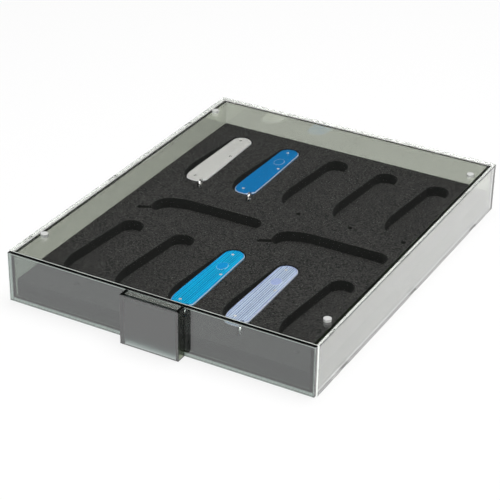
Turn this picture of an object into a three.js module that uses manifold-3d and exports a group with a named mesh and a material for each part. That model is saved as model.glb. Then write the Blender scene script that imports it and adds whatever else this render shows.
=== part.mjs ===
// Knife display case: a clear hood over a smoke-tinted drawer with a black foam insert, and four
// folding knives in its twelve pockets. Millimetres, +Z up, the drawer pulls out along -Y.
// The origin is on the surface the case stands on, midway between the handle and the back wall.

import * as THREE from 'three';
import { mergeVertices } from 'three/addons/utils/BufferGeometryUtils.js';
import Module from 'manifold-3d';

const wasm = await Module();
wasm.setup();

// Case: outer size and plastic thicknesses
const caseWidth = 236;
const caseHeight = 38;
const hoodLength = 291.7;
const hoodWall = 2.4;
const hoodTop = 2.2;
const baseThickness = 2.2;
const panelThickness = 3;
const panelInset = 0.8;
const trayWall = 2.4;
const trayFloor = 2;

// Stacking studs on the hood, and the holes below that take the studs of another case
const studRadius = 2.8;
const studHeight = 1.8;
const studFromSide = 9;
const studFromEnd = 28.5;
const studHoleGap = 0.5;

// Snap tabs along each side of the base plate
const tabCount = 3;
const tabLength = 8;
const tabPitch = 108;

// Pull handle
const handleWidth = 44.7;
const handleReach = 8;
const handleWall = 2.6;
const handleWebThickness = 2;
const handleWebDrop = 0.6;

// Clearances
const panelGap = 0.3;
const panelLift = 0.4;
const baseGap = 0.2;
const tabGap = 0.3;
const runGap = 0.4;
const backGap = 0.5;
const foamGap = 0.3;

// Foam insert: two sheets and the layout of the pockets, measured from the edges of the foam
const backingThickness = 4.5;
const insertThickness = 8;
const foamCorner = 2;
const columnCount = 5;
const columnFromSide = 28.1;
const backRowFromBack = 15.3;
const frontRowFromFront = 23.4;
const middleEndX = 96;
const middlePitch = 100.5;
const middleShift = 0.7;
const middleTurn = THREE.MathUtils.degToRad(-84.5);

// Folding knife: outline and layers, lying flat with its top end up the page
const knifeLength = 84.2;
const knifeTopWidth = 15.8;
const knifeFullWidth = 18.2;
const knifeFullFromEnd = 24;
const heelFromEnd = 12.5;
const heelFlat = 7;
const heelCornerIn = 0.3;
const heelCornerUp = 1.5;
const scaleThickness = 1.3;
const layerThickness = 2.2;
const linerThickness = 1;

// Knife: pins, springs and folded tools
const rivetRadius = 1.1;
const rivetProud = 0.15;
const pinGap = 0.3;
const toolGap = 0.15;
const toolEndGap = 1;
const toolTipGap = 4;
const topPivot = new THREE.Vector2(-1.2, -6.7);
const springPinFromSide = 3.85;
const springPinFromTop = 34.7;
const lowPivotX = -2;
const lowPivotFromEnd = 7.6;
const tangRadius = 4.3;
const bladeTipFromEnd = 15.5;
const capLifterLength = 32;

// Cut corner of the knife, with the lug of its key ring
const cutSide = 6;
const cutEnd = 5.2;
const lugFromSide = 3.05;
const lugFromEnd = 3.1;
const lugHoleGap = 0.6;
const lugRim = 0.9;
const notchSideGap = 0.35;
const notchDepth = 1.2;
const ringDirection = THREE.MathUtils.degToRad(-68);
const ringLift = THREE.MathUtils.degToRad(17);
const ringRadius = 5;
const ringWire = 1.1;
const ringThickness = 1.5;

// Foam pocket: its room around the knife, and the slot for the key ring
const pocketTopSideGap = 1.3;
const pocketRightGap = 0.9;
const pocketFingerRoom = 4.9;
const pocketAxisShift = -0.2;
const pocketTopGap = 1;
const pocketEndGap = 0.6;
const slotSideGap = 1.1;
const slotEndGap = 4;
const lugRoom = 0.15;

// Places along the case
const frontReach = handleReach + panelThickness + panelGap;
const handleFront = -(frontReach + hoodLength) / 2;
const panelFront = handleFront + handleReach;
const panelBack = panelFront + panelThickness;
const hoodFront = panelBack + panelGap;
const hoodBack = hoodFront + hoodLength;
const trayBack = hoodBack - hoodWall - backGap;
const foamFront = panelBack + foamGap;
const foamBack = trayBack - trayWall - foamGap;

// Places across and up the case
const bayHalfWidth = caseWidth / 2 - hoodWall;
const trayHalfWidth = bayHalfWidth - runGap;
const foamHalfWidth = trayHalfWidth - trayWall - foamGap;
const trayBottom = baseThickness + runGap;
const trayTop = caseHeight - hoodTop - runGap;
const backingBottom = trayBottom + trayFloor;
const insertBottom = backingBottom + backingThickness;

// Places on the knife and its ring
const knifeThickness = 2 * (scaleThickness + layerThickness) + linerThickness;
const springPin = new THREE.Vector2(knifeFullWidth / 2 - springPinFromSide, -springPinFromTop);
const lowPivot = new THREE.Vector2(lowPivotX, lowPivotFromEnd - knifeLength);
const bladeLength = knifeLength + topPivot.y - bladeTipFromEnd;
const canOpenerLength = topPivot.y - capLifterLength - toolTipGap - lowPivot.y;
const lug = new THREE.Vector2(knifeFullWidth / 2 - lugFromSide, lugFromEnd - knifeLength);
const lugHoleRadius = Math.hypot(ringThickness, ringWire) / 2 + lugHoleGap;
const ringAway = new THREE.Vector2(Math.cos(ringDirection), Math.sin(ringDirection));
const ringMeanRadius = ringRadius - ringWire / 2;
const ringReach = ringMeanRadius * Math.cos(ringLift) + ringRadius;

// Places of the pockets
const pocketLength = pocketTopGap + knifeLength + pocketEndGap;
const columnPitch = 2 * (foamHalfWidth - columnFromSide) / (columnCount - 1);
const backRowTop = foamBack - backRowFromBack;
const frontRowTop = foamFront + frontRowFromFront + pocketLength;
const middleEndY = (backRowTop - pocketLength + frontRowTop) / 2 + middleShift;
const slotHalfWidth = ringThickness / 2 + slotSideGap;

// The knives, each in a column and a row of the pockets
const knives = [
  { name: 'silver_knife', color: 0xdedfda, column: 0, rowTop: backRowTop },
  { name: 'blue_knife', color: 0x0078be, column: 1, rowTop: backRowTop },
  { name: 'azure_knife', color: 0x009be6, column: 2, rowTop: frontRowTop },
  { name: 'lilac_knife', color: 0xb4bce4, column: 3, rowTop: frontRowTop },
];

const arcSteps = 8;
const roundSteps = 16;
const overrun = 1;

const group = new THREE.Group();

// Materials

function finish(color, roughness, metalness, opacity = 1) {
  return new THREE.MeshStandardMaterial({ color, roughness, metalness, opacity, transparent: opacity < 1 });
}

const clearPlastic = () => finish(0xe8eae6, 0.08, 0, 0.25);
const smokePlastic = () => finish(0x6d736d, 0.08, 0, 0.55);
const blackFoam = () => finish(0x2b2b2a, 0.95, 0);
const steel = () => finish(0xb9bab8, 0.25, 1);

// Solids

function solid(geometry) {
  const bare = geometry.clone();
  bare.deleteAttribute('normal');
  bare.deleteAttribute('uv');
  const merged = mergeVertices(bare);
  const vertProperties = new Float32Array(merged.attributes.position.array);
  const triVerts = new Uint32Array(merged.index.array);
  return new wasm.Manifold(new wasm.Mesh({ numProp: 3, vertProperties, triVerts }));
}

function geometryOf(body) {
  const mesh = body.getMesh();
  const geometry = new THREE.BufferGeometry();
  geometry.setAttribute('position', new THREE.BufferAttribute(mesh.vertProperties.slice(), 3));
  geometry.setIndex(new THREE.BufferAttribute(mesh.triVerts.slice(), 1));
  geometry.computeVertexNormals();
  return geometry;
}

function boxBetween(x0, x1, y0, y1, z0, z1) {
  const geometry = new THREE.BoxGeometry(x1 - x0, y1 - y0, z1 - z0);
  return geometry.translate((x0 + x1) / 2, (y0 + y1) / 2, (z0 + z1) / 2);
}

function plate(shape, z0, z1) {
  const settings = { depth: z1 - z0, bevelEnabled: false, curveSegments: arcSteps };
  return new THREE.ExtrudeGeometry(shape, settings).translate(0, 0, z0);
}

function pin(centre, radius, z0, z1) {
  const geometry = new THREE.CylinderGeometry(radius, radius, z1 - z0, roundSteps);
  return geometry.rotateX(Math.PI / 2).translate(centre.x, centre.y, (z0 + z1) / 2);
}

function addPiece(parent, name, geometry, material) {
  const mesh = new THREE.Mesh(geometry, material);
  mesh.name = name;
  parent.add(mesh);
  return mesh;
}

function evenly(count, pitch) {
  return Array.from({ length: count }, (_, index) => (index - (count - 1) / 2) * pitch);
}

// Hood, base plate and their stacking studs and tabs

function studPlaces() {
  const x = caseWidth / 2 - studFromSide;
  const ends = [hoodFront + studFromEnd, hoodBack - studFromEnd];
  return ends.flatMap((y) => [new THREE.Vector2(-x, y), new THREE.Vector2(x, y)]);
}

function tabPlaces() {
  const middle = (hoodFront + hoodBack) / 2;
  return evenly(tabCount, tabPitch).map((offset) => middle + offset);
}

function hood() {
  const half = caseWidth / 2;
  let body = solid(boxBetween(-half, half, hoodFront, hoodBack, 0, caseHeight));
  const bay = boxBetween(-bayHalfWidth, bayHalfWidth, hoodFront - overrun, hoodBack - hoodWall,
    -overrun, caseHeight - hoodTop);
  body = body.subtract(solid(bay));
  const notchHalf = tabLength / 2 + tabGap;
  for (const y of tabPlaces()) {
    const notch = boxBetween(-half - overrun, half + overrun, y - notchHalf, y + notchHalf,
      -overrun, baseThickness + tabGap);
    body = body.subtract(solid(notch));
  }
  for (const place of studPlaces()) {
    const stud = pin(place, studRadius, caseHeight - hoodTop / 2, caseHeight + studHeight);
    body = body.add(solid(stud));
  }
  return geometryOf(body);
}

function basePlate() {
  const half = bayHalfWidth - baseGap;
  let body = solid(boxBetween(-half, half, hoodFront, hoodBack - hoodWall - baseGap, 0, baseThickness));
  const tabReach = caseWidth / 2 - baseGap;
  for (const y of tabPlaces()) {
    const tab = boxBetween(-tabReach, tabReach, y - tabLength / 2, y + tabLength / 2, 0, baseThickness);
    body = body.add(solid(tab));
  }
  for (const place of studPlaces()) {
    const hole = pin(place, studRadius + studHoleGap, -overrun, baseThickness + overrun);
    body = body.subtract(solid(hole));
  }
  return geometryOf(body);
}

// Drawer: tray, front panel and pull handle

function drawerTray() {
  const outside = boxBetween(-trayHalfWidth, trayHalfWidth, panelBack, trayBack, trayBottom, trayTop);
  const inside = boxBetween(-trayHalfWidth + trayWall, trayHalfWidth - trayWall, panelBack - overrun,
    trayBack - trayWall, trayBottom + trayFloor, trayTop + overrun);
  return geometryOf(solid(outside).subtract(solid(inside)));
}

function frontPanel() {
  const half = caseWidth / 2 - panelInset;
  return boxBetween(-half, half, panelFront, panelBack, panelLift, caseHeight);
}

function pullHandle() {
  const half = handleWidth / 2;
  const innerHalf = half - handleWall;
  const innerFront = handleFront + handleWall;
  const webTop = caseHeight - handleWebDrop;
  const outside = boxBetween(-half, half, handleFront, panelFront, panelLift, caseHeight);
  const below = boxBetween(-innerHalf, innerHalf, innerFront, panelFront + overrun,
    panelLift - overrun, webTop - handleWebThickness);
  const above = boxBetween(-innerHalf, innerHalf, innerFront, panelFront + overrun,
    webTop, caseHeight + overrun);
  return geometryOf(solid(outside).subtract(solid(below)).subtract(solid(above)));
}

// Foam: the pocket outline from its rounded top end down its axis, then the two sheets. Each
// pocket has a slit for the key ring that ends in a round hole. Under a knife and in the middle
// pockets it stands open as a slot, and in the other pockets it has closed up to the hole.

function slotEndPlace() {
  const along = ringReach + slotEndGap - slotHalfWidth;
  return new THREE.Vector2(lug.x, lug.y - pocketTopGap).addScaledVector(ringAway, along);
}

function pocketPoints(hasOpenSlot) {
  const radius = knifeTopWidth / 2 + pocketTopSideGap;
  const right = knifeFullWidth / 2 + pocketRightGap;
  const left = knifeFullWidth / 2 + pocketFingerRoom;
  const knifeEnd = -pocketTopGap - knifeLength;
  const wideFrom = knifeEnd + knifeFullFromEnd;
  const bottom = knifeEnd - pocketEndGap;
  const lugPlace = new THREE.Vector2(lug.x, lug.y - pocketTopGap);
  const lugClear = lugHoleRadius + lugRim + lugRoom;
  const side = new THREE.Vector2(-ringAway.y, ringAway.x);
  const slotStart = lugPlace.clone().addScaledVector(ringAway, lugClear);
  const rightStart = slotStart.clone().addScaledVector(side, slotHalfWidth);
  const leftStart = slotStart.clone().addScaledVector(side, -slotHalfWidth);
  const across = ringDirection + Math.PI / 2;
  const fingerLow = (bottom + wideFrom - knifeFullFromEnd) / 2;
  const outline = new THREE.Path();
  outline.moveTo(pocketAxisShift - radius, -radius);
  outline.absarc(pocketAxisShift, -radius, radius, Math.PI, 0, true);
  outline.lineTo(right, wideFrom);
  outline.lineTo(right, knifeEnd + cutSide);
  outline.quadraticCurveTo(right, lugPlace.y, rightStart.x, rightStart.y);
  if (hasOpenSlot) {
    const slotEnd = slotEndPlace();
    outline.absarc(slotEnd.x, slotEnd.y, slotHalfWidth, across, across - Math.PI, true);
  }
  outline.lineTo(leftStart.x, leftStart.y);
  outline.lineTo(leftStart.x - slotHalfWidth, bottom);
  outline.lineTo(0, bottom);
  outline.quadraticCurveTo(-left, fingerLow, -left, wideFrom);
  outline.closePath();
  return outline.getPoints(arcSteps);
}

function pocketPlaces() {
  const places = [];
  for (const rowTop of [backRowTop, frontRowTop]) {
    evenly(columnCount, columnPitch).forEach((x, column) => {
      const hasKnife = knives.some((knife) => knife.rowTop === rowTop && knife.column === column);
      places.push({ x, y: rowTop, turn: 0, hasOpenSlot: hasKnife });
    });
  }
  for (const x of [middleEndX - middlePitch, middleEndX]) {
    places.push({ x, y: middleEndY, turn: middleTurn, hasOpenSlot: true });
  }
  return places;
}

function foamOutline() {
  const outline = new THREE.Shape();
  const right = foamHalfWidth - foamCorner;
  const front = foamFront + foamCorner;
  const back = foamBack - foamCorner;
  outline.absarc(-right, front, foamCorner, Math.PI, 1.5 * Math.PI, false);
  outline.absarc(right, front, foamCorner, 1.5 * Math.PI, 2 * Math.PI, false);
  outline.absarc(right, back, foamCorner, 0, Math.PI / 2, false);
  outline.absarc(-right, back, foamCorner, Math.PI / 2, Math.PI, false);
  outline.closePath();
  return outline;
}

function foamInsert() {
  const top = insertBottom + insertThickness;
  const origin = new THREE.Vector2();
  let body = solid(plate(foamOutline(), insertBottom, top));
  for (const place of pocketPlaces()) {
    const moved = (point) => point.rotateAround(origin, place.turn).add(new THREE.Vector2(place.x, place.y));
    const outline = new THREE.Shape(pocketPoints(place.hasOpenSlot).map(moved));
    body = body.subtract(solid(plate(outline, insertBottom - overrun, top + overrun)));
    if (!place.hasOpenSlot) {
      const hole = pin(moved(slotEndPlace()), slotHalfWidth, insertBottom - overrun, top + overrun);
      body = body.subtract(solid(hole));
    }
  }
  return geometryOf(body);
}

function foamBacking() {
  return plate(foamOutline(), backingBottom, insertBottom);
}

// Folding knife, in its own frame: top end at the origin, underside at height zero

function knifeOutline() {
  const radius = knifeTopWidth / 2;
  const half = knifeFullWidth / 2;
  const end = -knifeLength;
  const fullFrom = end + knifeFullFromEnd;
  const outline = new THREE.Shape();
  outline.moveTo(-radius, -radius);
  outline.absarc(0, -radius, radius, Math.PI, 0, true);
  outline.lineTo(half, fullFrom);
  outline.lineTo(half, end + cutSide);
  outline.lineTo(half - cutEnd, end);
  outline.lineTo(heelFlat - half, end);
  outline.quadraticCurveTo(heelCornerIn - half, end + heelCornerUp, -half, end + heelFromEnd);
  outline.lineTo(-half, fullFrom);
  outline.closePath();
  return outline;
}

function knifeSlab(z0, z1) {
  return solid(plate(knifeOutline(), z0, z1));
}

function withoutPins(body, centres, z0, z1) {
  let result = body;
  for (const centre of centres) {
    result = result.subtract(solid(pin(centre, rivetRadius + pinGap, z0 - overrun, z1 + overrun)));
  }
  return result;
}

// Room for the key ring at the cut corner: a slot with a round inner end, open outwards
function withoutRingNotch(body, z0, z1) {
  const radius = ringThickness / 2 + notchSideGap;
  const inner = lug.clone().addScaledVector(ringAway, -notchDepth);
  const outer = inner.clone().addScaledVector(ringAway, cutSide + cutEnd);
  const across = ringDirection + Math.PI / 2;
  const notch = new THREE.Shape();
  notch.absarc(inner.x, inner.y, radius, across, across + Math.PI, false);
  notch.absarc(outer.x, outer.y, radius, across + Math.PI, across + 2 * Math.PI, false);
  notch.closePath();
  return body.subtract(solid(plate(notch, z0 - overrun, z1 + overrun)));
}

function knifeScale(z0) {
  const z1 = z0 + scaleThickness;
  const body = withoutRingNotch(knifeSlab(z0, z1), z0, z1);
  return geometryOf(withoutPins(body, [topPivot, springPin, lowPivot], z0, z1));
}

function knifeLiner(z0) {
  const z1 = z0 + linerThickness;
  const rim = solid(pin(lug, lugHoleRadius + lugRim, z0, z1));
  const hole = solid(pin(lug, lugHoleRadius, z0 - overrun, z1 + overrun));
  const body = knifeSlab(z0, z1).add(rim).subtract(hole);
  return geometryOf(withoutPins(body, [topPivot, springPin, lowPivot], z0, z1));
}

// Spring along the right edge; with a butt it also fills the low end of its layer
function knifeSpring(z0, hasButt) {
  const z1 = z0 + layerThickness;
  const edge = topPivot.x + tangRadius + toolGap;
  const strip = solid(boxBetween(edge, knifeFullWidth, -knifeLength - overrun, overrun,
    z0 - overrun, z1 + overrun));
  const butt = solid(boxBetween(-knifeFullWidth, knifeFullWidth, -knifeLength - overrun,
    topPivot.y - bladeLength - toolEndGap, z0 - overrun, z1 + overrun));
  const keep = hasButt ? strip.add(butt) : strip;
  const body = withoutRingNotch(knifeSlab(z0, z1).intersect(keep), z0, z1);
  const pins = hasButt ? [springPin, lowPivot] : [springPin];
  return geometryOf(withoutPins(body, pins, z0, z1));
}

// A folded tool: a round tang on its pivot and a tapered end, "down" -1 or 1 along the handle
function toolShape(pivot, length, down, halfWidth) {
  const outline = new THREE.Shape();
  const from = down > 0 ? Math.PI : 0;
  const left = pivot.x + tangRadius - 2 * halfWidth;
  const right = pivot.x + tangRadius;
  const tip = pivot.y + down * length;
  const neck = pivot.y + down * tangRadius;
  const taper = pivot.y + down * (length - 2 * halfWidth);
  const nearSide = down > 0 ? right : left;
  const farSide = down > 0 ? left : right;
  outline.absarc(pivot.x, pivot.y, tangRadius, from, from + Math.PI, false);
  outline.lineTo(nearSide, neck);
  outline.lineTo(nearSide, taper);
  outline.quadraticCurveTo(nearSide, tip - down * halfWidth / 2, pivot.x, tip);
  outline.quadraticCurveTo(farSide, tip - down * halfWidth / 2, farSide, taper);
  outline.lineTo(farSide, neck);
  outline.closePath();
  return outline;
}

function knifeTool(pivot, length, down, z0) {
  const low = z0 + toolGap;
  const high = z0 + layerThickness - toolGap;
  const halfWidth = (knifeTopWidth / 2 + topPivot.x + tangRadius) / 2 - toolGap - pinGap;
  const body = solid(plate(toolShape(pivot, length, down, halfWidth), low, high));
  return geometryOf(withoutPins(body, [pivot], low, high));
}

function knifeRivet(centre) {
  return pin(centre, rivetRadius, 0, knifeThickness + rivetProud);
}

function ringGeometry() {
  const inner = ringRadius - ringWire;
  const half = ringThickness / 2;
  const profile = [[inner, -half], [ringRadius, -half], [ringRadius, half], [inner, half], [inner, -half]];
  return new THREE.LatheGeometry(profile.map(([r, y]) => new THREE.Vector2(r, y)), 2 * roundSteps);
}

function addKeyRing(parent, name) {
  const ring = addPiece(parent, name, ringGeometry(), steel());
  const up = new THREE.Vector3(0, 0, 1);
  const away = new THREE.Vector3(ringAway.x, ringAway.y, 0);
  const axis = new THREE.Vector3().crossVectors(away, up);
  ring.position.set(lug.x, lug.y, knifeThickness / 2);
  ring.position.addScaledVector(away, ringMeanRadius * Math.cos(ringLift));
  ring.position.addScaledVector(up, ringMeanRadius * Math.sin(ringLift));
  ring.quaternion.setFromUnitVectors(new THREE.Vector3(0, 1, 0), axis);
}

function addKnife({ name, color, column, rowTop }) {
  const knife = new THREE.Group();
  knife.position.set(evenly(columnCount, columnPitch)[column], rowTop - pocketTopGap, insertBottom);
  group.add(knife);
  const lowLayer = scaleThickness;
  const liner = lowLayer + layerThickness;
  const highLayer = liner + linerThickness;
  const aluminium = () => finish(color, 0.4, 0.7);
  addPiece(knife, `${name}_lower_scale`, knifeScale(0), aluminium());
  addPiece(knife, `${name}_tool_spring`, knifeSpring(lowLayer, false), steel());
  addPiece(knife, `${name}_cap_lifter`, knifeTool(topPivot, capLifterLength, -1, lowLayer), steel());
  addPiece(knife, `${name}_can_opener`, knifeTool(lowPivot, canOpenerLength, 1, lowLayer), steel());
  addPiece(knife, `${name}_liner`, knifeLiner(liner), steel());
  addPiece(knife, `${name}_blade_spring`, knifeSpring(highLayer, true), steel());
  addPiece(knife, `${name}_blade`, knifeTool(topPivot, bladeLength, -1, highLayer), steel());
  addPiece(knife, `${name}_upper_scale`, knifeScale(highLayer + layerThickness), aluminium());
  addPiece(knife, `${name}_top_rivet`, knifeRivet(topPivot), steel());
  addPiece(knife, `${name}_spring_rivet`, knifeRivet(springPin), steel());
  addPiece(knife, `${name}_low_rivet`, knifeRivet(lowPivot), steel());
  addKeyRing(knife, `${name}_key_ring`);
}

// The whole case

addPiece(group, 'hood', hood(), clearPlastic());
addPiece(group, 'base_plate', basePlate(), clearPlastic());
addPiece(group, 'drawer_tray', drawerTray(), smokePlastic());
addPiece(group, 'front_panel', frontPanel(), smokePlastic());
addPiece(group, 'pull_handle', pullHandle(), smokePlastic());
addPiece(group, 'foam_backing', foamBacking(), blackFoam());
addPiece(group, 'foam_insert', foamInsert(), blackFoam());

for (const knife of knives) {
  addKnife(knife);
}

export default group;
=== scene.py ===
# Looks of a low display case: clear hood, smoke-tinted drawer, black foam and four folding knives.
# Metres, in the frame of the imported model: the case stands at z = 0 and its drawer opens along -Y.

import math

import bmesh
import bpy
from mathutils import Matrix, Vector


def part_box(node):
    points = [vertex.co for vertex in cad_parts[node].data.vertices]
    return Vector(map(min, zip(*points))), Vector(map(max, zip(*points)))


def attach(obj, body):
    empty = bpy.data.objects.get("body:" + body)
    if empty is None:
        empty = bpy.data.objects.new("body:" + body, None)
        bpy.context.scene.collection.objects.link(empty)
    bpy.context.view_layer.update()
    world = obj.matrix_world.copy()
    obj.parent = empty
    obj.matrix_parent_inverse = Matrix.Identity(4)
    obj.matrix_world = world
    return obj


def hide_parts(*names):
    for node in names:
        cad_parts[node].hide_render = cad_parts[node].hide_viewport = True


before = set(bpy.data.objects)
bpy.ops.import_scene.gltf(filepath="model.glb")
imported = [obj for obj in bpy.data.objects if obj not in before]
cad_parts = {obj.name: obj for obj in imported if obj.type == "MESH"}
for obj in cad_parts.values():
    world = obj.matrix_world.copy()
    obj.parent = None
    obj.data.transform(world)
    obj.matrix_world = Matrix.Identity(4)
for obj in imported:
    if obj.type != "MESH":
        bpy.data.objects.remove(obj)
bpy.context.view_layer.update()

# Base plate: a flat sheet of clear plastic that closes the hood from below. Three snap tabs on each
# side sit in notches of the hood, and four holes take the studs of the case underneath.

MM = 0.001
weld_distance = 0.002 * MM
flat_angle = math.radians(0.5)
sharp_angle = math.radians(32)
face_slack = 0.05 * MM
facing = 0.9
base_edge = 0.2 * MM


def new_piece(name, mesh):
    piece = bpy.data.objects.new(name, mesh)
    bpy.context.scene.collection.objects.link(piece)
    return piece


def mesh_from(name, shape):
    mesh = bpy.data.meshes.new(name)
    shape.to_mesh(mesh)
    shape.free()
    return mesh


def copy_of_solid(name, node):
    """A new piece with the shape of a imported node, its flat faces whole again."""
    shape = bmesh.new()
    shape.from_mesh(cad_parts[node].data)
    bmesh.ops.remove_doubles(shape, verts=shape.verts, dist=weld_distance)
    bmesh.ops.dissolve_limit(
        shape, angle_limit=flat_angle, verts=shape.verts, edges=shape.edges
    )
    return new_piece(name, mesh_from(name, shape))


def ease_edges(piece, width, finish=-1):
    """Breaks every sharp edge by width. finish is the number of the material on the new faces."""
    easing = piece.modifiers.new("eased edges", "BEVEL")
    easing.material = finish
    easing.width = width
    easing.segments = 2
    easing.limit_method = "ANGLE"
    easing.angle_limit = sharp_angle
    easing.use_clamp_overlap = True


def moulded_skin():
    """Node group: the faint ripple and the rubbed gloss of a moulded plastic face."""
    group = bpy.data.node_groups.new("moulded skin", "ShaderNodeTree")
    for label in ("Gloss", "Rub", "Ripple"):
        group.interface.new_socket(label, in_out="INPUT", socket_type="NodeSocketFloat")
    group.interface.new_socket("Roughness", in_out="OUTPUT", socket_type="NodeSocketFloat")
    group.interface.new_socket("Dust", in_out="OUTPUT", socket_type="NodeSocketFloat")
    group.interface.new_socket("Normal", in_out="OUTPUT", socket_type="NodeSocketVector")
    nodes = group.nodes
    links = group.links
    given = nodes.new("NodeGroupInput")
    made = nodes.new("NodeGroupOutput")
    place = nodes.new("ShaderNodeTexCoord")
    ripple = nodes.new("ShaderNodeTexNoise")
    ripple.inputs["Scale"].default_value = 26
    ripple.inputs["Detail"].default_value = 1
    bump = nodes.new("ShaderNodeBump")
    bump.inputs["Distance"].default_value = 0.4 * MM
    stretch = nodes.new("ShaderNodeMapping")
    stretch.inputs["Scale"].default_value = (1500, 90, 400)
    rubs = nodes.new("ShaderNodeTexNoise")
    rubs.inputs["Scale"].default_value = 1
    rubs.inputs["Detail"].default_value = 3
    marks = nodes.new("ShaderNodeMapRange")
    marks.inputs["From Min"].default_value = 0.55
    marks.inputs["From Max"].default_value = 0.8
    amount = nodes.new("ShaderNodeMath")
    amount.operation = "MULTIPLY_ADD"
    specks = nodes.new("ShaderNodeTexVoronoi")
    specks.inputs["Scale"].default_value = 160
    dust = nodes.new("ShaderNodeMapRange")
    dust.inputs["From Min"].default_value = 0.035
    dust.inputs["From Max"].default_value = 0.09
    dust.inputs["To Min"].default_value = 1
    dust.inputs["To Max"].default_value = 0
    links.new(place.outputs["Object"], ripple.inputs["Vector"])
    links.new(ripple.outputs["Fac"], bump.inputs["Height"])
    links.new(given.outputs["Ripple"], bump.inputs["Strength"])
    links.new(place.outputs["Object"], stretch.inputs["Vector"])
    links.new(stretch.outputs["Vector"], rubs.inputs["Vector"])
    links.new(rubs.outputs["Fac"], marks.inputs["Value"])
    links.new(marks.outputs["Result"], amount.inputs[0])
    links.new(given.outputs["Rub"], amount.inputs[1])
    links.new(given.outputs["Gloss"], amount.inputs[2])
    links.new(place.outputs["Object"], specks.inputs["Vector"])
    links.new(specks.outputs["Distance"], dust.inputs["Value"])
    links.new(amount.outputs["Value"], made.inputs["Roughness"])
    links.new(dust.outputs["Result"], made.inputs["Dust"])
    links.new(bump.outputs["Normal"], made.inputs["Normal"])
    return group


MOULDED_SKIN = moulded_skin()


def see_through_plastic(
    name, tint, keeps, density, coat=0.0, gloss=0.012, clearness=1.0, coat_ior=1.6
):
    """Solid plastic. keeps is the colour that passes through it, density how fast the rest is lost."""
    material = bpy.data.materials.new(name)
    material.use_nodes = True
    nodes = material.node_tree.nodes
    links = material.node_tree.links
    plastic = nodes["Principled BSDF"]
    plastic.inputs["IOR"].default_value = 1.59
    plastic.inputs["Transmission Weight"].default_value = clearness
    plastic.inputs["Coat Weight"].default_value = coat
    plastic.inputs["Coat Roughness"].default_value = 0.02
    plastic.inputs["Coat IOR"].default_value = coat_ior
    skin = nodes.new("ShaderNodeGroup")
    skin.node_tree = MOULDED_SKIN
    skin.inputs["Gloss"].default_value = gloss
    skin.inputs["Rub"].default_value = 0.05
    skin.inputs["Ripple"].default_value = 0.05
    shade = nodes.new("ShaderNodeMix")
    shade.data_type = "RGBA"
    shade.inputs["A"].default_value = (*tint, 1)
    shade.inputs["B"].default_value = (*(channel * 0.85 for channel in tint), 1)
    body = nodes.new("ShaderNodeVolumeAbsorption")
    body.inputs["Color"].default_value = (*keeps, 1)
    body.inputs["Density"].default_value = density
    to_lamps = nodes.new("ShaderNodeBsdfTransparent")
    to_lamps.inputs["Color"].default_value = (0.95, 0.95, 0.95, 1)
    path = nodes.new("ShaderNodeLightPath")
    soft_light = nodes.new("ShaderNodeMixShader")
    lamp_light = nodes.new("ShaderNodeMixShader")
    output = nodes["Material Output"]
    links.new(skin.outputs["Dust"], shade.inputs["Factor"])
    links.new(shade.outputs["Result"], plastic.inputs["Base Color"])
    links.new(skin.outputs["Roughness"], plastic.inputs["Roughness"])
    links.new(skin.outputs["Normal"], plastic.inputs["Normal"])
    links.new(path.outputs["Is Diffuse Ray"], soft_light.inputs["Fac"])
    links.new(plastic.outputs["BSDF"], soft_light.inputs[1])
    links.new(to_lamps.outputs["BSDF"], soft_light.inputs[2])
    links.new(path.outputs["Is Shadow Ray"], lamp_light.inputs["Fac"])
    links.new(soft_light.outputs["Shader"], lamp_light.inputs[1])
    links.new(to_lamps.outputs["BSDF"], lamp_light.inputs[2])
    links.new(lamp_light.outputs["Shader"], output.inputs["Surface"])
    links.new(body.outputs["Volume"], output.inputs["Volume"])
    return material


def finish_faces(piece, material, wanted):
    """Gives the faces that wanted accepts a material of their own."""
    piece.data.materials.append(material)
    place = len(piece.data.materials) - 1
    for face in piece.data.polygons:
        if wanted(face.center, face.normal):
            face.material_index = place


CLEAR_TINT = (0.985, 0.985, 0.98)
CLEAR_KEEPS = (0.66, 0.74, 0.62)
CLEAR_DENSITY = 9
CLEAR_PLASTIC = see_through_plastic(
    "clear polystyrene", CLEAR_TINT, CLEAR_KEEPS, CLEAR_DENSITY, coat=0.4
)
# Frosted front faces: rough, half-clear plastic that also glows a little, a painted glow that no lamp
# gives it.
frost_colour = (0.93, 0.94, 0.92)
painted_glow_colour = (0.93, 0.97, 0.92)
painted_glow_strength = 0.6
FROSTED_EDGE_PAINTED_GLOW = see_through_plastic(
    "frosted clear edge with painted glow", frost_colour, CLEAR_KEEPS, CLEAR_DENSITY, gloss=0.3, clearness=0.15
)
edge_surface = FROSTED_EDGE_PAINTED_GLOW.node_tree.nodes["Principled BSDF"]
edge_surface.inputs["Emission Color"].default_value = (*painted_glow_colour, 1)
edge_surface.inputs["Emission Strength"].default_value = painted_glow_strength

base_plate = copy_of_solid("clear_base_plate", "base_plate")
base_plate.data.materials.append(CLEAR_PLASTIC)
base_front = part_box("base_plate")[0].y
# The front face of the base plate is frosted and carries the painted glow.
finish_faces(
    base_plate,
    FROSTED_EDGE_PAINTED_GLOW,
    lambda centre, normal: normal.y < -facing and abs(centre.y - base_front) < face_slack,
)
ease_edges(base_plate, base_edge, finish=0)
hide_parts("base_plate")
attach(base_plate, "case")

# Hood: one clear moulding with a flat top, two side walls and a back wall, open at the front where
# the drawer goes in. Four low studs on top take the next case of a stack.

hood_low, hood_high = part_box("hood")
hood_wall = 2.4 * MM
hood_top = 2.2 * MM
stud_height = 1.8 * MM
stud_radius = 2.8 * MM
stud_from_side = 9 * MM
stud_from_end = 28.5 * MM
tab_notch_half = 4.3 * MM
tab_notch_top = 2.5 * MM
tab_pitch = 108 * MM
hood_edge = 0.25 * MM
peg_sides = 40
overrun = 1 * MM


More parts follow.
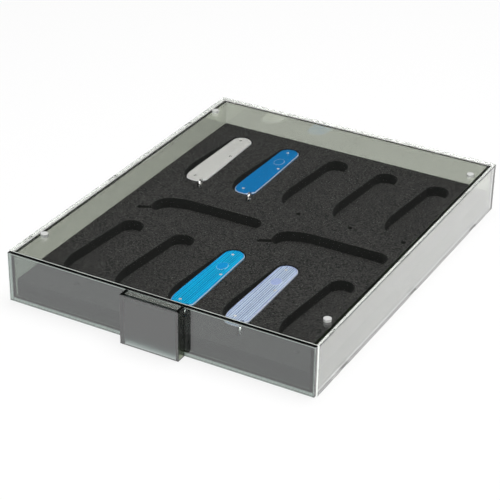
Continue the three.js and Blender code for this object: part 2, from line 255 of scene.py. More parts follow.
def block(low, high):
    shape = bmesh.new()
    bmesh.ops.create_cube(shape, size=1)
    size = Vector(high) - Vector(low)
    middle = (Vector(high) + Vector(low)) / 2
    bmesh.ops.transform(
        shape, matrix=Matrix.Translation(middle) @ Matrix.Diagonal((*size, 1)), verts=shape.verts
    )
    return mesh_from("block", shape)


def peg(centre, radius, z_low, z_high):
    shape = bmesh.new()
    bmesh.ops.create_cone(
        shape, cap_ends=True, segments=peg_sides, radius1=radius, radius2=radius, depth=z_high - z_low
    )
    middle = Vector((centre[0], centre[1], (z_low + z_high) / 2))
    bmesh.ops.translate(shape, vec=middle, verts=shape.verts)
    return mesh_from("peg", shape)


def reshaped(name, body, changes):
    """One closed mesh: body, with each (operation, mesh) of changes applied to it in turn."""
    piece = new_piece(name, body)
    tools = []
    for operation, mesh in changes:
        tool = new_piece("tool", mesh)
        tools.append(tool)
        change = piece.modifiers.new("carve", "BOOLEAN")
        change.operation = operation
        change.object = tool
        change.solver = "EXACT"
    bpy.context.view_layer.update()
    shaped = bpy.data.meshes.new_from_object(
        piece.evaluated_get(bpy.context.evaluated_depsgraph_get())
    )
    piece.modifiers.clear()
    piece.data = shaped
    for tool in tools:
        bpy.data.objects.remove(tool)
    return piece


def carved(name, body, joins=(), cuts=()):
    """One closed mesh with whole flat faces: body with the joins added and the cuts taken away."""
    changes = [("UNION", mesh) for mesh in joins]
    changes += [("DIFFERENCE", mesh) for mesh in cuts]
    piece = reshaped(name, body, changes)
    shape = bmesh.new()
    shape.from_mesh(piece.data)
    bmesh.ops.dissolve_limit(
        shape, angle_limit=flat_angle, verts=shape.verts, edges=shape.edges
    )
    shape.to_mesh(piece.data)
    shape.free()
    piece.data.name = name
    return piece


case_top = hood_high.z - stud_height
stud_x = hood_high.x - stud_from_side
stud_ys = (hood_low.y + stud_from_end, hood_high.y - stud_from_end)
studs = [
    peg((side * stud_x, y), stud_radius, case_top - hood_top / 2, hood_high.z)
    for side in (-1, 1)
    for y in stud_ys
]
bay = block(
    (hood_low.x + hood_wall, hood_low.y - overrun, -overrun),
    (hood_high.x - hood_wall, hood_high.y - hood_wall, case_top - hood_top),
)
hood_middle_y = (hood_low.y + hood_high.y) / 2
tab_notches = [
    block(
        (hood_low.x - overrun, hood_middle_y + step * tab_pitch - tab_notch_half, -overrun),
        (hood_high.x + overrun, hood_middle_y + step * tab_pitch + tab_notch_half, tab_notch_top),
    )
    for step in (-1, 0, 1)
]
outside = block((hood_low.x, hood_low.y, 0), (hood_high.x, hood_high.y, case_top))
hood = carved("clear_hood", outside, joins=studs, cuts=[bay, *tab_notches])
hood.data.materials.append(CLEAR_PLASTIC)
# The front faces of the hood are frosted and carry the painted glow.
finish_faces(
    hood,
    FROSTED_EDGE_PAINTED_GLOW,
    lambda centre, normal: normal.y < -facing and abs(centre.y - hood_low.y) < face_slack,
)
FROSTED_STUD = see_through_plastic(
    "frosted stud",
    (0.97, 0.97, 0.96),
    CLEAR_KEEPS,
    CLEAR_DENSITY,
    coat=1.0,
    gloss=0.1,
    clearness=0.35,
)
finish_faces(hood, FROSTED_STUD, lambda centre, normal: centre.z > case_top + face_slack)
ease_edges(hood, hood_edge, finish=0)
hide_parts("hood")
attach(hood, "case")

# Drawer tray: floor, two sides and a back in smoke-tinted plastic, moulded with thin walls. From
# above the tops of the walls look black, because the eye looks down through their whole height.

SMOKE_TINT = (0.97, 0.975, 0.97)
SMOKE_KEEPS = (0.38, 0.46, 0.24)
tray_density = 215
tray_edge = 0.25 * MM
SMOKE_PLASTIC = see_through_plastic(
    "smoke tray", SMOKE_TINT, SMOKE_KEEPS, tray_density, coat=1.0
)

tray = copy_of_solid("smoke_tray", "drawer_tray")
ease_edges(tray, tray_edge)
tray.data.materials.append(SMOKE_PLASTIC)
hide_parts("drawer_tray")
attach(tray, "drawer")

# Front panel: a smoke-tinted plate that closes the bay and is welded to the front of the tray. The
# clear top and base of the hood show through it as two pale lines, partly from the painted glow of
# their frosted front faces.

panel_keeps = (0.39, 0.47, 0.45)
panel_density = 480
polish_ior = 1.7
panel_edge = 0.3 * MM

panel = copy_of_solid("smoke_front_panel", "front_panel")
ease_edges(panel, panel_edge)
panel.data.materials.append(
    see_through_plastic(
        "smoke panel", SMOKE_TINT, panel_keeps, panel_density, coat=1.0, coat_ior=polish_ior
    )
)
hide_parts("front_panel")
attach(panel, "drawer")

# Pull handle: a box of smoke plastic without a floor, on the middle of the panel, so that fingers
# reach into it from below. The web across its top has a grained face between polished rims.

handle_low, handle_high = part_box("pull_handle")
handle_web_drop = 0.6 * MM
handle_wall = 2.6 * MM
handle_density = 330
handle_ior = 1.84
handle_edge = 0.25 * MM
side_specular = 0.05


def grained_plastic(name):
    """Smoke plastic with a coarse pebbled face, as an etched mould gives it."""
    material = see_through_plastic(
        name, (0.3, 0.32, 0.29), SMOKE_KEEPS, handle_density, coat=1.0, clearness=0.6
    )
    nodes = material.node_tree.nodes
    links = material.node_tree.links
    plastic = nodes["Principled BSDF"]
    place = nodes.new("ShaderNodeTexCoord")
    pebbles = nodes.new("ShaderNodeTexVoronoi")
    pebbles.inputs["Scale"].default_value = 760
    bump = nodes.new("ShaderNodeBump")
    bump.inputs["Strength"].default_value = 1
    bump.inputs["Distance"].default_value = 0.9 * MM
    dull = nodes.new("ShaderNodeMapRange")
    dull.inputs["To Min"].default_value = 0.1
    dull.inputs["To Max"].default_value = 0.3
    links.new(place.outputs["Object"], pebbles.inputs["Vector"])
    links.new(pebbles.outputs["Distance"], bump.inputs["Height"])
    links.new(pebbles.outputs["Distance"], dull.inputs["Value"])
    links.new(dull.outputs["Result"], plastic.inputs["Roughness"])
    links.new(bump.outputs["Normal"], plastic.inputs["Normal"])
    return material


handle = copy_of_solid("smoke_pull_handle", "pull_handle")
handle.data.materials.append(
    see_through_plastic(
        "smoke handle", SMOKE_TINT, panel_keeps, handle_density, coat=1.0, coat_ior=handle_ior
    )
)
web_height = handle_high.z - handle_web_drop
finish_faces(
    handle,
    grained_plastic("grained smoke web"),
    lambda centre, normal: normal.z > facing and abs(centre.z - web_height) < face_slack,
)
inside_of_front = handle_low.y + handle_wall
finish_faces(
    handle,
    see_through_plastic(
        "matt handle inside", SMOKE_TINT, panel_keeps, handle_density, gloss=0.45
    ),
    lambda centre, normal: normal.y > facing and abs(centre.y - inside_of_front) < face_slack,
)
SHADED_SIDE = see_through_plastic(
    "shaded handle side", (0.5, 0.52, 0.48), SMOKE_KEEPS, handle_density
)
side_surface = SHADED_SIDE.node_tree.nodes["Principled BSDF"]
side_surface.inputs["Specular IOR Level"].default_value = side_specular
finish_faces(
    handle,
    SHADED_SIDE,
    lambda centre, normal: abs(normal.x) > facing and abs(centre.x) > handle_high.x - face_slack,
)
ease_edges(handle, handle_edge)
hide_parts("pull_handle")
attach(handle, "drawer")

# Foam backing: a thin sheet of black closed-cell foam that lies on the tray floor. It is the bottom
# of every pocket, and it is cut to the tray with a small gap all round.

foam_grain = 900
backing_edge = 0.4 * MM


def black_foam(name, darkest, lightest):
    """Closed-cell foam, skived or die-cut: fine open pores, a few of them catching the light."""
    material = bpy.data.materials.new(name)
    material.use_nodes = True
    nodes = material.node_tree.nodes
    links = material.node_tree.links
    foam = nodes["Principled BSDF"]
    foam.inputs["Specular IOR Level"].default_value = 0.12
    foam.inputs["Sheen Weight"].default_value = 0.03
    foam.inputs["Sheen Roughness"].default_value = 0.6
    place = nodes.new("ShaderNodeTexCoord")
    cells = nodes.new("ShaderNodeTexNoise")
    cells.inputs["Scale"].default_value = foam_grain
    cells.inputs["Detail"].default_value = 3
    cells.inputs["Roughness"].default_value = 0.7
    cloud = nodes.new("ShaderNodeTexNoise")
    cloud.inputs["Scale"].default_value = 60
    cloud.inputs["Detail"].default_value = 2
    pores = nodes.new("ShaderNodeTexVoronoi")
    pores.inputs["Scale"].default_value = 1100
    shade = nodes.new("ShaderNodeValToRGB")
    shade.color_ramp.elements[0].position = 0.38
    shade.color_ramp.elements[0].color = (*darkest, 1)
    shade.color_ramp.elements[1].position = 0.63
    shade.color_ramp.elements[1].color = (*lightest, 1)
    tone = nodes.new("ShaderNodeMapRange")
    tone.inputs["To Min"].default_value = 0.88
    tone.inputs["To Max"].default_value = 1.12
    clouded = nodes.new("ShaderNodeMix")
    clouded.data_type = "RGBA"
    clouded.blend_type = "MULTIPLY"
    clouded.inputs["Factor"].default_value = 1
    dull = nodes.new("ShaderNodeMapRange")
    dull.inputs["To Min"].default_value = 0.82
    dull.inputs["To Max"].default_value = 0.97
    bump = nodes.new("ShaderNodeBump")
    bump.inputs["Strength"].default_value = 0.55
    bump.inputs["Distance"].default_value = 0.25 * MM
    links.new(place.outputs["Object"], cells.inputs["Vector"])
    links.new(place.outputs["Object"], cloud.inputs["Vector"])
    links.new(place.outputs["Object"], pores.inputs["Vector"])
    links.new(cells.outputs["Fac"], shade.inputs["Fac"])
    links.new(cloud.outputs["Fac"], tone.inputs["Value"])
    links.new(shade.outputs["Color"], clouded.inputs["A"])
    links.new(tone.outputs["Result"], clouded.inputs["B"])
    links.new(clouded.outputs["Result"], foam.inputs["Base Color"])
    links.new(cells.outputs["Fac"], dull.inputs["Value"])
    links.new(dull.outputs["Result"], foam.inputs["Roughness"])
    links.new(pores.outputs["Distance"], bump.inputs["Height"])
    links.new(bump.outputs["Normal"], foam.inputs["Normal"])
    return material


BLACK_FOAM = black_foam(
    "black closed-cell foam", (0.0005, 0.0005, 0.0005), (0.072, 0.072, 0.068)
)

backing = copy_of_solid("black_foam_backing", "foam_backing")
ease_edges(backing, backing_edge)
backing.data.materials.append(BLACK_FOAM)
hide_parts("foam_backing")
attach(backing, "drawer")

# Foam insert: the upper sheet, with twelve pockets cut through it by a steel-rule die. The blade
# leaves the walls of the pockets smooth and their top edges a little round. Those walls and edges
# are painted darker than the top face, as painted shade.

insert_edge = 0.35 * MM
upright = 0.5

insert = copy_of_solid("black_foam_insert", "foam_insert")
insert.data.materials.append(BLACK_FOAM)
# Upright faces, and the rounded edges that the bevel adds, take a darker foam: painted shade in the
# pockets.
finish_faces(
    insert,
    black_foam("die-cut foam wall painted shade", (0.009, 0.0105, 0.009), (0.019, 0.022, 0.018)),
    lambda centre, normal: abs(normal.z) < upright,
)
ease_edges(insert, insert_edge, finish=1)
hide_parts("foam_insert")
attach(insert, "drawer")

# Knife scales: anodised aluminium plates, 1.3 mm thick, with a smooth chamfered rim, a field of fine
# ribs along the handle and a plain oval boss. The rib crests and the chamfers are painted lighter,
# as painted highlight, and the rib grooves darker, as painted shade. The lower scale lies face down
# in the pocket.

knife_names = ("silver_knife", "blue_knife", "azure_knife", "lilac_knife")
knife_length = 84.2 * MM
knife_top_width = 15.8 * MM
knife_full_width = 18.2 * MM
full_width_from = 60.2 * MM
heel_from_end = 12.5 * MM
heel_flat = 7 * MM
heel_corner = Vector((0.3 * MM, 1.5 * MM))
cut_side = 6 * MM
cut_end = 5.2 * MM
scale_chamfer = 0.55 * MM
rim_width = 1.25 * MM
rib_pitch = 1.56 * MM
steps_per_rib = 8
boss_place = Vector((0.4 * MM, -24 * MM))
boss_half = Vector((4 * MM, 5.4 * MM))
boss_rim = 0.35 * MM
boss_sides = 40
top_end_steps = 36
heel_steps = 12
notch_end_steps = 16
rib_sink = 0.1 * MM
rib_drop = 0.02 * MM
crest_share = 0.45
chamfer_slope = (0.3, 0.999)
lug_from_side = 3.05 * MM
lug_from_end = 3.1 * MM
lug_place = Vector((knife_full_width / 2 - lug_from_side, lug_from_end - knife_length))
ring_angle = math.radians(-68)
ring_away = Vector((math.cos(ring_angle), math.sin(ring_angle)))
ring_notch_radius = 1.1 * MM
ring_notch_depth = 1.2 * MM


def arc(centre, radius, start, end, steps):
    turns = [start + (end - start) * step / steps for step in range(steps + 1)]
    return [centre + radius * Vector((math.cos(turn), math.sin(turn))) for turn in turns]


def knife_outline():
    """The handle seen from above, counter-clockwise, with its top end at the origin."""
    radius = knife_top_width / 2
    half = knife_full_width / 2
    end = -knife_length
    heel_start = Vector((heel_flat - half, end))
    heel_turn = Vector((heel_corner.x - half, end + heel_corner.y))
    heel_top = Vector((-half, end + heel_from_end))
    points = arc(Vector((0, -radius)), radius, 0, math.pi, top_end_steps)
    points.append(Vector((-half, -full_width_from)))
    for step in range(heel_steps + 1):
        t = step / heel_steps
        points.append(heel_top.lerp(heel_turn, t).lerp(heel_turn.lerp(heel_start, t), t))
    points.append(Vector((half - cut_end, end)))
    points.append(Vector((half, end + cut_side)))
    points.append(Vector((half, -full_width_from)))
    return points


def drawn_in(points, distance):
    """The outline moved inwards by distance all round."""
    count = len(points)
    moved = []
    for index, point in enumerate(points):
        before = (point - points[index - 1]).normalized()
        after = (points[(index + 1) % count] - point).normalized()
        inward = Vector((-before.y - after.y, before.x + after.x)).normalized()
        share = max(0.5, inward.dot(Vector((-after.y, after.x))))
        moved.append(point + inward * distance / share)
    return moved


def slab(points, z_low, z_high):
    shape = bmesh.new()
    face = shape.faces.new([shape.verts.new((point.x, point.y, z_low)) for point in points])
    raised = bmesh.ops.extrude_face_region(shape, geom=[face])
    tops = [item for item in raised["geom"] if isinstance(item, bmesh.types.BMVert)]
    bmesh.ops.translate(shape, vec=(0, 0, z_high - z_low), verts=tops)
    bmesh.ops.recalc_face_normals(shape, faces=shape.faces)
    return mesh_from("slab", shape)


def chamfered_slab(points, z_low, z_high, inset, drop):
    """A slab whose upper edge slopes, from drop below its top inwards by inset."""
    count = len(points)
    shape = bmesh.new()
    loops = [
        [shape.verts.new((point.x, point.y, z)) for point in outline]
        for outline, z in (
            (points, z_low),
            (points, z_high - drop),
            (drawn_in(points, inset), z_high),
        )
    ]
    for low_loop, high_loop in zip(loops, loops[1:]):
        for index in range(count):
            following = (index + 1) % count
            shape.faces.new(
                (low_loop[index], low_loop[following], high_loop[following], high_loop[index])
            )
    shape.faces.new(loops[0])
    shape.faces.new(loops[-1])
    bmesh.ops.recalc_face_normals(shape, faces=shape.faces)
    return mesh_from("chamfered slab", shape)


def ring_notch(z_low, z_high):
    """Cutter for the room that the key ring needs at the cut corner."""
    inner = lug_place - ring_away * ring_notch_depth
    outer = inner + ring_away * (cut_side + cut_end)
    across = ring_angle + math.pi / 2
    back = across + math.pi
    points = arc(inner, ring_notch_radius, across, back, notch_end_steps)
    points += arc(outer, ring_notch_radius, back, across + 2 * math.pi, notch_end_steps)
    return slab(points, z_low, z_high)


def ribbed_field(z_low, z_high, rib_height):
    """A plate with round ribs along the handle, a little larger than the knife all round."""
    ribs_each_side = math.ceil(knife_full_width / 2 / rib_pitch)
    reach = steps_per_rib * ribs_each_side
    shape = bmesh.new()
    rows = []
    for y in (overrun, -knife_length - overrun):
        row = []
        for step in range(-reach, reach + 1):
            crest = abs(math.cos(math.pi * step / steps_per_rib))
            z = z_high - rib_height * (1 - crest)
            row.append(shape.verts.new((rib_pitch * step / steps_per_rib, y, z)))
        rows.append(row)
    for step in range(2 * reach):
        corners = (rows[0][step], rows[0][step + 1], rows[1][step + 1], rows[1][step])
        shape.faces.new(corners)
    walls = bmesh.ops.extrude_edge_only(shape, edges=[e for e in shape.edges if e.is_boundary])
    lows = [item for item in walls["geom"] if isinstance(item, bmesh.types.BMVert)]
    for vert in lows:
        vert.co.z = z_low
    bmesh.ops.holes_fill(shape, edges=[e for e in shape.edges if e.is_boundary])
    bmesh.ops.recalc_face_normals(shape, faces=shape.faces)
    return mesh_from("ribs", shape)


def satin_grain():
    """Node group: the fine satin of blasted or polished metal, with a few rubbed spots."""
    group = bpy.data.node_groups.new("satin grain", "ShaderNodeTree")
    for label in ("Satin", "Grain"):
        group.interface.new_socket(label, in_out="INPUT", socket_type="NodeSocketFloat")
    group.interface.new_socket("Shade", in_out="OUTPUT", socket_type="NodeSocketFloat")
    group.interface.new_socket("Roughness", in_out="OUTPUT", socket_type="NodeSocketFloat")
    group.interface.new_socket("Normal", in_out="OUTPUT", socket_type="NodeSocketVector")
    nodes = group.nodes
    links = group.links
    given = nodes.new("NodeGroupInput")
    made = nodes.new("NodeGroupOutput")
    place = nodes.new("ShaderNodeTexCoord")
    fine = nodes.new("ShaderNodeTexNoise")
    fine.inputs["Scale"].default_value = 5200
    fine.inputs["Detail"].default_value = 2
    wide = nodes.new("ShaderNodeTexNoise")
    wide.inputs["Scale"].default_value = 240
    wide.inputs["Detail"].default_value = 3
    worn = nodes.new("ShaderNodeMapRange")
    worn.inputs["From Min"].default_value = 0.3
    worn.inputs["From Max"].default_value = 0.7
    worn.inputs["To Min"].default_value = -0.06
    worn.inputs["To Max"].default_value = 0.06
    rough = nodes.new("ShaderNodeMath")
    rough.operation = "ADD"
    bump = nodes.new("ShaderNodeBump")
    bump.inputs["Distance"].default_value = 0.03 * MM
    links.new(place.outputs["Object"], fine.inputs["Vector"])
    links.new(place.outputs["Object"], wide.inputs["Vector"])
    links.new(wide.outputs["Fac"], worn.inputs["Value"])
    links.new(worn.outputs["Result"], rough.inputs[0])
    links.new(given.outputs["Satin"], rough.inputs[1])
    links.new(fine.outputs["Fac"], bump.inputs["Height"])
    links.new(given.outputs["Grain"], bump.inputs["Strength"])
    links.new(wide.outputs["Fac"], made.inputs["Shade"])
    links.new(rough.outputs["Value"], made.inputs["Roughness"])
    links.new(bump.outputs["Normal"], made.inputs["Normal"])
    return group


SATIN_GRAIN = satin_grain()


def metal(name, dark, light, metallic, satin, grain, specular=0.5):
    material = bpy.data.materials.new(name)
    material.use_nodes = True
    nodes = material.node_tree.nodes
    links = material.node_tree.links
    surface = nodes["Principled BSDF"]
    surface.inputs["Metallic"].default_value = metallic
    surface.inputs["Specular IOR Level"].default_value = specular
    skin = nodes.new("ShaderNodeGroup")
    skin.node_tree = SATIN_GRAIN
    skin.inputs["Satin"].default_value = satin
    skin.inputs["Grain"].default_value = grain
    colour = nodes.new("ShaderNodeMix")
    colour.data_type = "RGBA"
    colour.inputs["A"].default_value = (*dark, 1)
    colour.inputs["B"].default_value = (*light, 1)
    links.new(skin.outputs["Shade"], colour.inputs["Factor"])
    links.new(colour.outputs["Result"], surface.inputs["Base Color"])
    links.new(skin.outputs["Roughness"], surface.inputs["Roughness"])
    links.new(skin.outputs["Normal"], surface.inputs["Normal"])
    return material


anodised = {
    "silver_knife": ((0.74, 0.74, 0.71), (0.84, 0.84, 0.81)),
    "blue_knife": ((0.0, 0.21, 0.54), (0.0, 0.24, 0.62)),
    "azure_knife": ((0.0, 0.36, 0.84), (0.0, 0.41, 0.93)),
    "lilac_knife": ((0.42, 0.52, 0.86), (0.49, 0.58, 0.92)),
}
rib_heights = {
    "silver_knife": 0.05 * MM,
    "blue_knife": 0.04 * MM,
    "azure_knife": 0.16 * MM,
    "lilac_knife": 0.16 * MM,
}
anodised_satin = 0.42
anodised_grain = 0.5
lightest_metal = 0.98
# Factors on the knife's colour: lighter crests as painted highlight, darker grooves as painted shade.
crest_painted_highlight = {"silver_knife": 1.06, "blue_knife": 1.1, "azure_knife": 1.5, "lilac_knife": 1.45}
groove_painted_shade = {"silver_knife": 0.95, "blue_knife": 0.9, "azure_knife": 0.6, "lilac_knife": 0.55}


def towards_white(colour, share):
    return tuple(channel + (1 - channel) * share for channel in colour)


def anodised_finish(name, label, strength, specular=0.05, metallic=0.25, white=0.0):
    """The knife's own colour, made lighter for painted highlight or darker for painted shade."""
    dark, light = (
        tuple(min(lightest_metal, channel * strength) for channel in towards_white(colour, white))
        for colour in anodised[name]
    )
    return metal(
        f"{name} {label}", dark, light, metallic, anodised_satin, anodised_grain, specular
    )


scale_finish = {name: anodised_finish(name, "plain face", 1) for name in knife_names}
crest_painted_highlight_finish = {
    name: anodised_finish(name, "rib crest painted highlight", crest_painted_highlight[name]) for name in knife_names
}
groove_painted_shade_finish = {
    name: anodised_finish(name, "rib groove painted shade", groove_painted_shade[name]) for name in knife_names
}
# Chamfers are painted lighter and halfway to white: a painted highlight.
chamfer_painted_highlight_finish = {
    name: anodised_finish(
        name, "chamfer painted highlight", 1.15, specular=0.6, metallic=0.2, white=0.5
    )
    for name in knife_names
}


def oval(centre, half):
    turns = [2 * math.pi * step / boss_sides for step in range(boss_sides)]
    return [centre + Vector((half.x * math.cos(t), half.y * math.sin(t))) for t in turns]


def knife_origin(name):
    """The top end of a knife, on the middle line of its handle, at the height of its underside."""
    low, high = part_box(f"{name}_lower_scale")
    return Vector(((low.x + high.x) / 2, high.y, low.z))


def shown_scale(name):
    low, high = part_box(f"{name}_upper_scale")
    origin = knife_origin(name)
    outline = knife_outline()
    field = drawn_in(outline, rim_width)
    rib_height = rib_heights[name]
    z_low = low.z - origin.z
    z_high = high.z - origin.z
    z_field = z_high - 2 * rib_height
    plate = carved(
        f"{name}_scale",
        chamfered_slab(outline, z_low, z_high, scale_chamfer, scale_chamfer),
        cuts=[
            slab(field, z_field, z_high + overrun),
            ring_notch(z_low - overrun, z_high + overrun),
        ],
    )
    field_plate = reshaped(
        f"{name}_ribs",
        ribbed_field(z_field - rib_sink, z_high - rib_drop, rib_height),
        [
            ("INTERSECT", slab(field, z_field - overrun, z_high + overrun)),
            ("DIFFERENCE", ring_notch(z_field - overrun, z_high + overrun)),
        ],
    )
    boss = new_piece(
        f"{name}_boss",
        chamfered_slab(oval(boss_place, boss_half), z_field, z_high, boss_rim, rib_height),
    )
    for piece in (plate, field_plate, boss):
        piece.data.materials.append(scale_finish[name])
        piece.data.transform(Matrix.Translation(origin))
        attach(piece, name)
    # Rib crests take the painted highlight, and the grooves the painted shade.
    crest_from = high.z - rib_drop - crest_share * rib_height
    finish_faces(
        field_plate, crest_painted_highlight_finish[name], lambda centre, normal: centre.z > crest_from
    )
    finish_faces(
        field_plate, groove_painted_shade_finish[name], lambda centre, normal: centre.z <= crest_from
    )
    # The sloped chamfers of the plate and of the boss rim take the painted highlight.
    steepest, flattest = chamfer_slope
    for piece in (plate, boss):
        finish_faces(
            piece, chamfer_painted_highlight_finish[name], lambda centre, normal: steepest < normal.z < flattest
        )
    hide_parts(f"{name}_upper_scale")
    lower_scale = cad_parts[f"{name}_lower_scale"]
    lower_scale.data.materials.clear()
    lower_scale.data.materials.append(scale_finish[name])


for name in knife_names:
    shown_scale(name)

# Liner, springs, blade and folded tools: stainless steel, ground and polished. They are the steel
# layers between the scales, and the liner's corner is the lug that carries the key ring.

STAINLESS = metal("polished stainless", (0.66, 0.66, 0.65), (0.78, 0.78, 0.76), 1.0, 0.24, 0.3)
steel_layers = (
    "liner",
    "blade_spring",
    "tool_spring",
    "blade",
    "cap_lifter",
    "can_opener",
)

for name in knife_names:
    for layer in steel_layers:
        steel_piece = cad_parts[f"{name}_{layer}"]
        steel_piece.data.materials.clear()
        steel_piece.data.materials.append(STAINLESS)

# Rivets: three solid pins through each knife, peened over flush and then polished, so that each shows
# as a small dome in the scale. They are nickel silver, coloured near-white and barely metallic as a
# painted highlight in place of the metal's reflection, and stainless steel in the silver knife.

PAINTED_HIGHLIGHT_RIVET = metal("rivet with painted highlight", (0.9, 0.89, 0.87), (0.97, 0.96, 0.94), 0.2, 0.25, 0.15)
rivet_dome = 0.15 * MM
rivet_dome_steps = 5
rivet_sides = 28


def domed_rivet(piece_name, node):
    """A turned pin with a low dome at its upper end, as wide and as tall as its solid."""
    low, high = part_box(node)
    radius = (high.x - low.x) / 2
    profile = [(0, low.z), (radius, low.z), (radius, high.z - rivet_dome)]
    for step in range(1, rivet_dome_steps + 1):
        t = step / rivet_dome_steps * math.pi / 2
        rise = rivet_dome * math.sin(t)
        profile.append((radius * math.cos(t), high.z - rivet_dome + rise))
    shape = bmesh.new()
    verts = [shape.verts.new((r, 0, z)) for r, z in profile]
    edges = [shape.edges.new(pair) for pair in zip(verts, verts[1:])]
    bmesh.ops.spin(
        shape,
        geom=verts + edges,
        axis=(0, 0, 1),
        cent=(0, 0, 0),
        angle=2 * math.pi,
        steps=rivet_sides,
        use_duplicate=False,
    )
    bmesh.ops.remove_doubles(shape, verts=shape.verts, dist=weld_distance)
    bmesh.ops.recalc_face_normals(shape, faces=shape.faces)
    middle = Vector(((low.x + high.x) / 2, (low.y + high.y) / 2, 0))
    bmesh.ops.translate(shape, vec=middle, verts=shape.verts)
    return new_piece(piece_name, mesh_from(piece_name, shape))


for name in knife_names:
    for rivet in ("top_rivet", "spring_rivet", "low_rivet"):
        node = f"{name}_{rivet}"
        pin = domed_rivet(f"{name}_domed_{rivet}", node)
        # Outside the silver knife the rivets take the near-white painted highlight.
        pin.data.materials.append(STAINLESS if name == "silver_knife" else PAINTED_HIGHLIGHT_RIVET)
        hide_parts(node)
        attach(pin, name)

# Key rings: split rings of flattened spring-steel wire, two turns side by side, threaded through
# the lug. Each stands on edge in the narrow slot of its foam pocket.

ring_wire = 1.1 * MM
ring_radius = 5 * MM
ring_thickness = 1.5 * MM
ring_turn_gap = 0.12 * MM
ring_corner = 0.22 * MM
ring_corner_steps = 3
ring_steps = 96
ring_turns = 1.94
ring_start = 0.7
ring_step_share = 0.06


def split_ring(name, node):
    """Nearly two turns of wire side by side, which step across over a short stretch in the middle."""
    low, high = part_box(node)
    centre = (low + high) / 2
    wire_thick = (ring_thickness - ring_turn_gap) / 2
    side = (ring_thickness - wire_thick) / 2
    outline = []
    across = ring_wire / 2
    up = wire_thick / 2
    for corner_x, corner_y, start in (
        (across, up, 0),
        (-across, up, 90),
        (-across, -up, 180),
        (across, -up, 270),
    ):
        middle = Vector((
            corner_x - math.copysign(ring_corner, corner_x),
            corner_y - math.copysign(ring_corner, corner_y),
        ))
        first = math.radians(start)
        last = math.radians(start + 90)
        outline += arc(middle, ring_corner, first, last, ring_corner_steps)
    sections = []
    shape = bmesh.new()
    for step in range(ring_steps + 1):
        share = step / ring_steps
        turn = 2 * math.pi * ring_turns * share + ring_start
        shift = side * max(-1, min(1, (share - 0.5) / ring_step_share))
        ring = []
        for point in outline:
            reach = ring_radius - ring_wire / 2 + point.x
            ring.append(
                shape.verts.new((reach * math.cos(turn), shift + point.y, reach * math.sin(turn)))
            )
        sections.append(ring)
    count = len(outline)
    for near, far in zip(sections, sections[1:]):
        for index in range(count):
            following = (index + 1) % count
            shape.faces.new((near[index], near[following], far[following], far[index]))
    shape.faces.new(sections[0])
    shape.faces.new(sections[-1])
    bmesh.ops.recalc_face_normals(shape, faces=shape.faces)
    ring_turn = Matrix.Rotation(ring_angle, 4, "Z")
    bmesh.ops.transform(shape, matrix=Matrix.Translation(centre) @ ring_turn, verts=shape.verts)
    return new_piece(name, mesh_from(name, shape))


for name in knife_names:
    node = f"{name}_key_ring"
    ring = split_ring(f"{name}_split_ring", node)
    ring.data.materials.append(STAINLESS)
    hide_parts(node)
    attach(ring, f"{name.split('_')[0]}_key_ring")

# Studio floor: a plain white sweep. Camera and mirror rays see it nearly white, and the rest of it
# is lit paper, which keeps the soft shadow of the case.

floor_drop = 0.1 * MM
floor_thickness = 1 * MM
floor_half = 30.0
paper_glow = 0.8


def white_paper():
    material = bpy.data.materials.new("white paper")
    material.use_nodes = True
    nodes = material.node_tree.nodes
    links = material.node_tree.links
    nodes.remove(nodes["Principled BSDF"])
    paper = nodes.new("ShaderNodeBsdfDiffuse")
    paper.inputs["Color"].default_value = (0.92, 0.92, 0.92, 1)
    glow = nodes.new("ShaderNodeEmission")
    glow.inputs["Color"].default_value = (1, 1, 1, 1)
    glow.inputs["Strength"].default_value = 1
    path = nodes.new("ShaderNodeLightPath")
    seen = nodes.new("ShaderNodeMath")
    seen.operation = "ADD"
    seen_any = nodes.new("ShaderNodeMath")
    seen_any.operation = "ADD"
    share = nodes.new("ShaderNodeMath")
    share.operation = "MULTIPLY"
    share.inputs[1].default_value = paper_glow
    either = nodes.new("ShaderNodeMixShader")
    links.new(path.outputs["Is Camera Ray"], seen.inputs[0])
    links.new(path.outputs["Is Glossy Ray"], seen.inputs[1])
    links.new(seen.outputs["Value"], seen_any.inputs[0])
    links.new(path.outputs["Is Transmission Ray"], seen_any.inputs[1])
    links.new(seen_any.outputs["Value"], share.inputs[0])
    links.new(share.outputs["Value"], either.inputs["Fac"])
    links.new(paper.outputs["BSDF"], either.inputs[1])
    links.new(glow.outputs["Emission"], either.inputs[2])
    links.new(either.outputs["Shader"], nodes["Material Output"].inputs["Surface"])
    return material


floor = new_piece(
    "studio_floor",
    block(
        (-floor_half, -floor_half, -floor_drop - floor_thickness),
        (floor_half, floor_half, -floor_drop),
    ),
)
floor.data.materials.append(white_paper())

# Studio light: one large soft box overhead, a smaller one in front, and a plain room that is white
# low down and straight above and dim between, so that the top of the hood stays clear to look through.


def soft_box(name, place, width, power):
    """A square lamp that points at the middle of the case."""
    data = bpy.data.lights.new(name, "AREA")
    data.shape = "SQUARE"
    data.size = width
    data.energy = power
    lamp = bpy.data.objects.new(name, data)
    bpy.context.scene.collection.objects.link(lamp)
    lamp.location = place
    lamp.rotation_euler = (-Vector(place)).to_track_quat("-Z", "Y").to_euler()


soft_box("overhead soft box", (0.15, 0.1, 1.25), width=0.9, power=13)
soft_box("front soft box", (0.25, -1.2, 0.75), width=0.6, power=5)


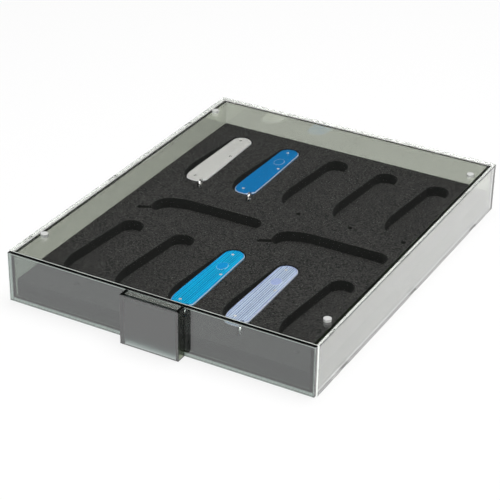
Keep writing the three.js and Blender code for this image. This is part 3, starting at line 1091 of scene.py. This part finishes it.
def studio_room():
    world = bpy.data.worlds.new("studio room")
    bpy.context.scene.world = world
    world.use_nodes = True
    nodes = world.node_tree.nodes
    links = world.node_tree.links
    walls = nodes["Background"]
    seen = nodes.new("ShaderNodeBackground")
    seen.inputs["Color"].default_value = (1, 1, 1, 1)
    seen.inputs["Strength"].default_value = 1
    place = nodes.new("ShaderNodeTexCoord")
    parts = nodes.new("ShaderNodeSeparateXYZ")
    rise = nodes.new("ShaderNodeValToRGB")
    stops = rise.color_ramp.elements
    stops[0].position = 0.0
    stops[0].color = (0.85, 0.85, 0.85, 1)
    stops[1].position = 1.0
    stops[1].color = (0.9, 0.9, 0.9, 1)
    for position, grey in ((0.12, 0.6), (0.26, 0.03), (0.7, 0.02), (0.88, 0.8)):
        stop = stops.new(position)
        stop.color = (grey, grey, grey, 1)
    path = nodes.new("ShaderNodeLightPath")
    either = nodes.new("ShaderNodeMixShader")
    links.new(place.outputs["Generated"], parts.inputs["Vector"])
    links.new(parts.outputs["Z"], rise.inputs["Fac"])
    links.new(rise.outputs["Color"], walls.inputs["Color"])
    links.new(path.outputs["Is Camera Ray"], either.inputs["Fac"])
    links.new(walls.outputs["Background"], either.inputs[1])
    links.new(seen.outputs["Background"], either.inputs[2])
    links.new(either.outputs["Shader"], nodes["World Output"].inputs["Surface"])


studio_room()
light_bounces = 24
bpy.context.scene.view_settings.view_transform = "Standard"
bpy.context.scene.cycles.max_bounces = light_bounces
bpy.context.scene.cycles.glossy_bounces = light_bounces
bpy.context.scene.cycles.transmission_bounces = light_bounces
bpy.context.scene.cycles.transparent_max_bounces = light_bounces

# Camera: a long lens in front of the case and to its right, above it, turned slightly about its own
# axis. It was set by the corners of the case and of the handle.

camera_azimuth = math.radians(28.6)
camera_elevation = math.radians(29.523)
camera_roll = math.radians(0.987)
camera_lens = 120.954
camera_offset = Vector((-9.561 * MM, -1.183 * MM, 1215.96 * MM))
case_centre = Vector((0, 4 * MM, 3 * MM))

camera_data = bpy.data.cameras.new("camera")
camera_data.lens = camera_lens
camera_data.sensor_width = 36
camera_data.clip_start = 0.05
camera_data.clip_end = 100
camera = bpy.data.objects.new("camera", camera_data)
bpy.context.scene.collection.objects.link(camera)
camera_turn = (
    Matrix.Rotation(camera_azimuth, 4, "Z")
    @ Matrix.Rotation(math.pi / 2 - camera_elevation, 4, "X")
    @ Matrix.Rotation(camera_roll, 4, "Z")
)
camera.matrix_world = Matrix.Translation(case_centre + camera_turn @ camera_offset) @ camera_turn
bpy.context.scene.camera = camera
